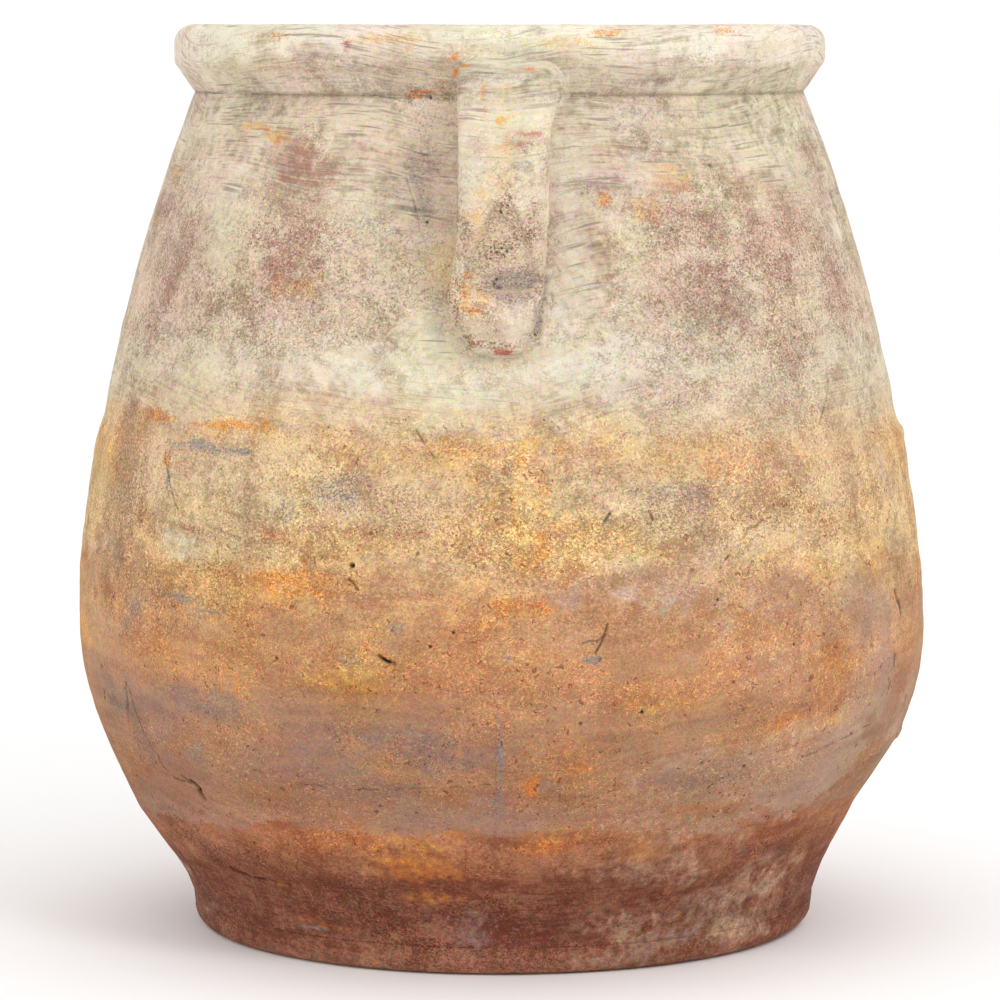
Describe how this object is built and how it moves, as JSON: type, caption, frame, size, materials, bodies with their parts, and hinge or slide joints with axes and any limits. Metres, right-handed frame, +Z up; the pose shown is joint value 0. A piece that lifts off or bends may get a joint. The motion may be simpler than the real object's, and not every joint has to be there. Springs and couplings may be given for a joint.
{
  "type": "amphora",
  "caption": "Wide-mouthed clay amphora with a rolled rim, a short foot and two vertical strap handles; it stands on its foot and holds plants, oil or dry goods.",
  "frame": {"origin": "on the jar's axis at the plane it rests on, which is the middle of the box's bottom", "axes": "+Z up along the jar's axis, -Y towards the front handle, +Y towards the rear handle, X across the seams between the two wall halves"},
  "size_m": [0.3864, 0.3918, 0.41],
  "materials": {
    "limewashed_rim_clay": "matte",
    "limewashed_handle_clay": "matte",
    "banded_wall_clay": "matte",
    "seam_clay": "matte",
    "foot_clay": "matte",
    "raw_inner_clay": "matte"
  },
  "bodies": {
    "root": {"floor_slab": "foot_clay", "foot_band": "foot_clay", "body_half_left": "banded_wall_clay", "body_half_right": "banded_wall_clay", "front_seam_strip": "seam_clay", "rear_seam_strip": "seam_clay", "front_inner_seam_coil": "raw_inner_clay", "rear_inner_seam_coil": "raw_inner_clay", "floor_corner_coil": "raw_inner_clay", "rim_roll": "limewashed_rim_clay", "front_handle_strap": "limewashed_handle_clay", "front_handle_upper_wad": "limewashed_handle_clay", "front_handle_lower_pad": "limewashed_handle_clay", "rear_handle_strap": "limewashed_handle_clay", "rear_handle_upper_wad": "limewashed_handle_clay", "rear_handle_lower_pad": "limewashed_handle_clay"}
  },
  "joints": []
}
